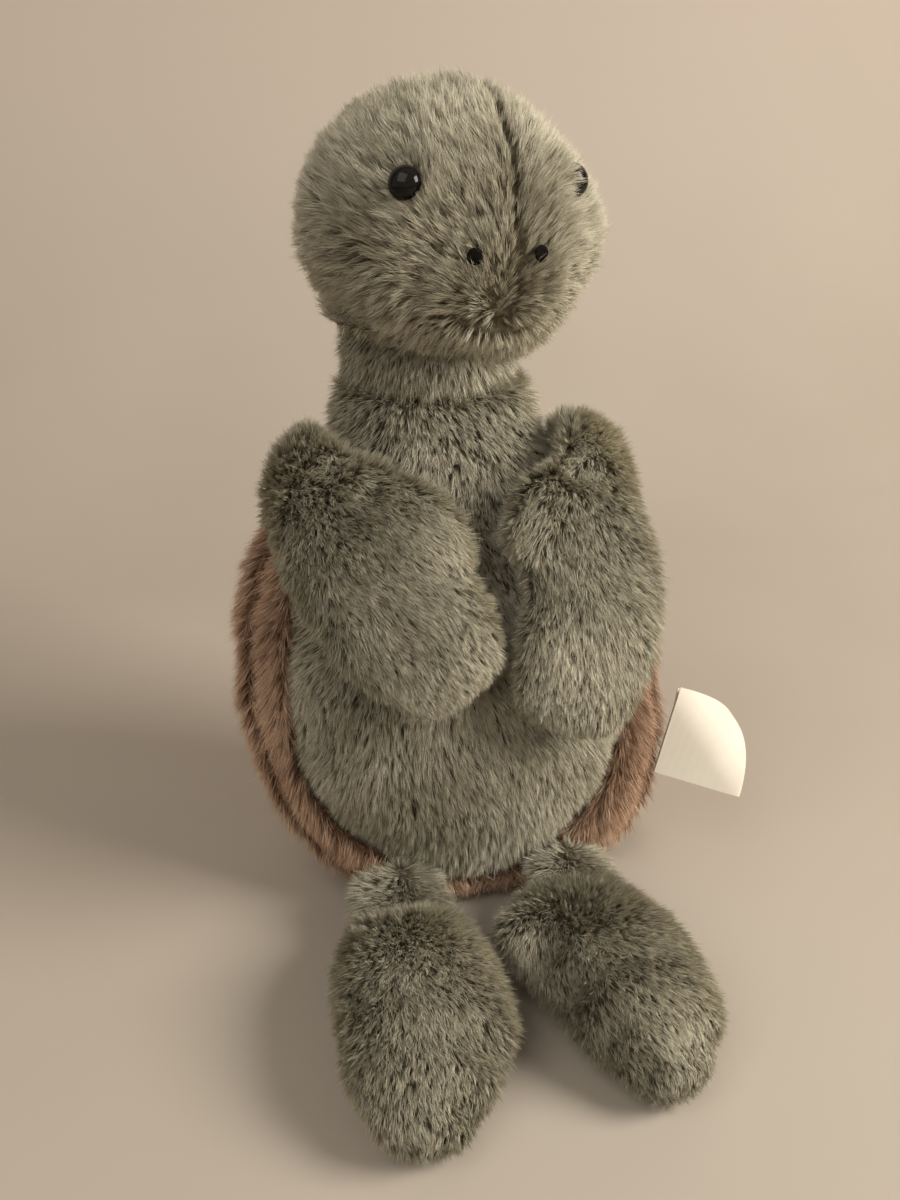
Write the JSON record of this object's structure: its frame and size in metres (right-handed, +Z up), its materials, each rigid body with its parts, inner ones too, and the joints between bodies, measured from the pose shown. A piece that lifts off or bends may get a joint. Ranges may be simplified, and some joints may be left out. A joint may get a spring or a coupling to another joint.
{
  "type": "plush turtle",
  "caption": "Sitting plush turtle with a soft domed shell, folded arm flippers, forward leg flippers, a turning neck and a nodding head.",
  "frame": {"origin": "on the floor under the seat, where the shell's pressed underside rests", "axes": "+Z up, the toy faces -Y, and its left hand is at +X"},
  "size_m": [0.1657, 0.1887, 0.2398],
  "materials": {
    "sage_plush": "short clumped plush pile",
    "rose_plush": "short clumped plush pile",
    "stuffing": "loose polyester fibre",
    "pouch_lining": "thin woven",
    "bean_filling": "small smooth pellets",
    "label_cloth": "smooth satin weave",
    "eye_black": "polished",
    "washer_white": "moulded",
    "nostril_thread": "satin stitch"
  },
  "bodies": {
    "torso": {"belly_panel": "sage_plush", "back_panel": "sage_plush", "body_stuffing": "stuffing", "bean_pouch_top": "pouch_lining", "bean_pouch_bottom": "pouch_lining", "beans": "bean_filling", "shell_dome": "rose_plush", "shell_rim": "rose_plush", "shell_stuffing": "stuffing", "label": "label_cloth"},
    "neck": {"neck_cover": "sage_plush", "neck_stuffing": "stuffing"},
    "head": {"head_panel_right": "sage_plush", "head_panel_left": "sage_plush", "chin_panel": "sage_plush", "head_stuffing": "stuffing", "eye_right": "eye_black", "eye_left": "eye_black", "eye_washer_right": "washer_white", "eye_washer_left": "washer_white", "nostril_right": "nostril_thread", "nostril_left": "nostril_thread"},
    "arm_right": {"arm_right_outer_panel": "sage_plush", "arm_right_inner_panel": "sage_plush", "arm_right_stuffing": "stuffing"},
    "leg_right": {"leg_right_top_panel": "sage_plush", "leg_right_sole_panel": "sage_plush", "leg_right_stuffing": "stuffing"},
    "arm_left": {"arm_left_outer_panel": "sage_plush", "arm_left_inner_panel": "sage_plush", "arm_left_stuffing": "stuffing"},
    "leg_left": {"leg_left_top_panel": "sage_plush", "leg_left_sole_panel": "sage_plush", "leg_left_stuffing": "stuffing"}
  },
  "joints": [
    {"name": "neck_turn", "type": "hinge", "parent": "torso", "child": "neck", "pos_m": [-0.007, 0.0225, 0.168], "axis": [0, 0, 1], "range_deg": [-35, 35], "stiffness_Nm_per_rad": 0.3},
    {"name": "head_nod", "type": "hinge", "parent": "neck", "child": "head", "pos_m": [-0.007, 0.0225, 0.168], "axis": [0.9877, 0.1564, 0], "range_deg": [-20, 20], "stiffness_Nm_per_rad": 0.4},
    {"name": "arm_right_lift", "type": "hinge", "parent": "torso", "child": "arm_right", "pos_m": [-0.04354, 0.01188, 0.12848], "axis": [-0.1559, -0.5283, -0.8346], "range_deg": [0, 30], "stiffness_Nm_per_rad": 0.05},
    {"name": "arm_left_lift", "type": "hinge", "parent": "torso", "child": "arm_left", "pos_m": [0.03245, 0.01235, 0.1303], "axis": [-0.2667, 0.5878, 0.7638], "range_deg": [0, 30], "stiffness_Nm_per_rad": 0.05},
    {"name": "leg_right_lift", "type": "hinge", "parent": "torso", "child": "leg_right", "pos_m": [-0.027, -0.0296, 0.017], "axis": [-0.9964, -0.0853, 0], "range_deg": [-10, 40], "stiffness_Nm_per_rad": 0.05},
    {"name": "leg_left_lift", "type": "hinge", "parent": "torso", "child": "leg_left", "pos_m": [0.027, -0.0296, 0.017], "axis": [-0.9964, -0.0853, 0], "range_deg": [-10, 40], "stiffness_Nm_per_rad": 0.05}
  ]
}
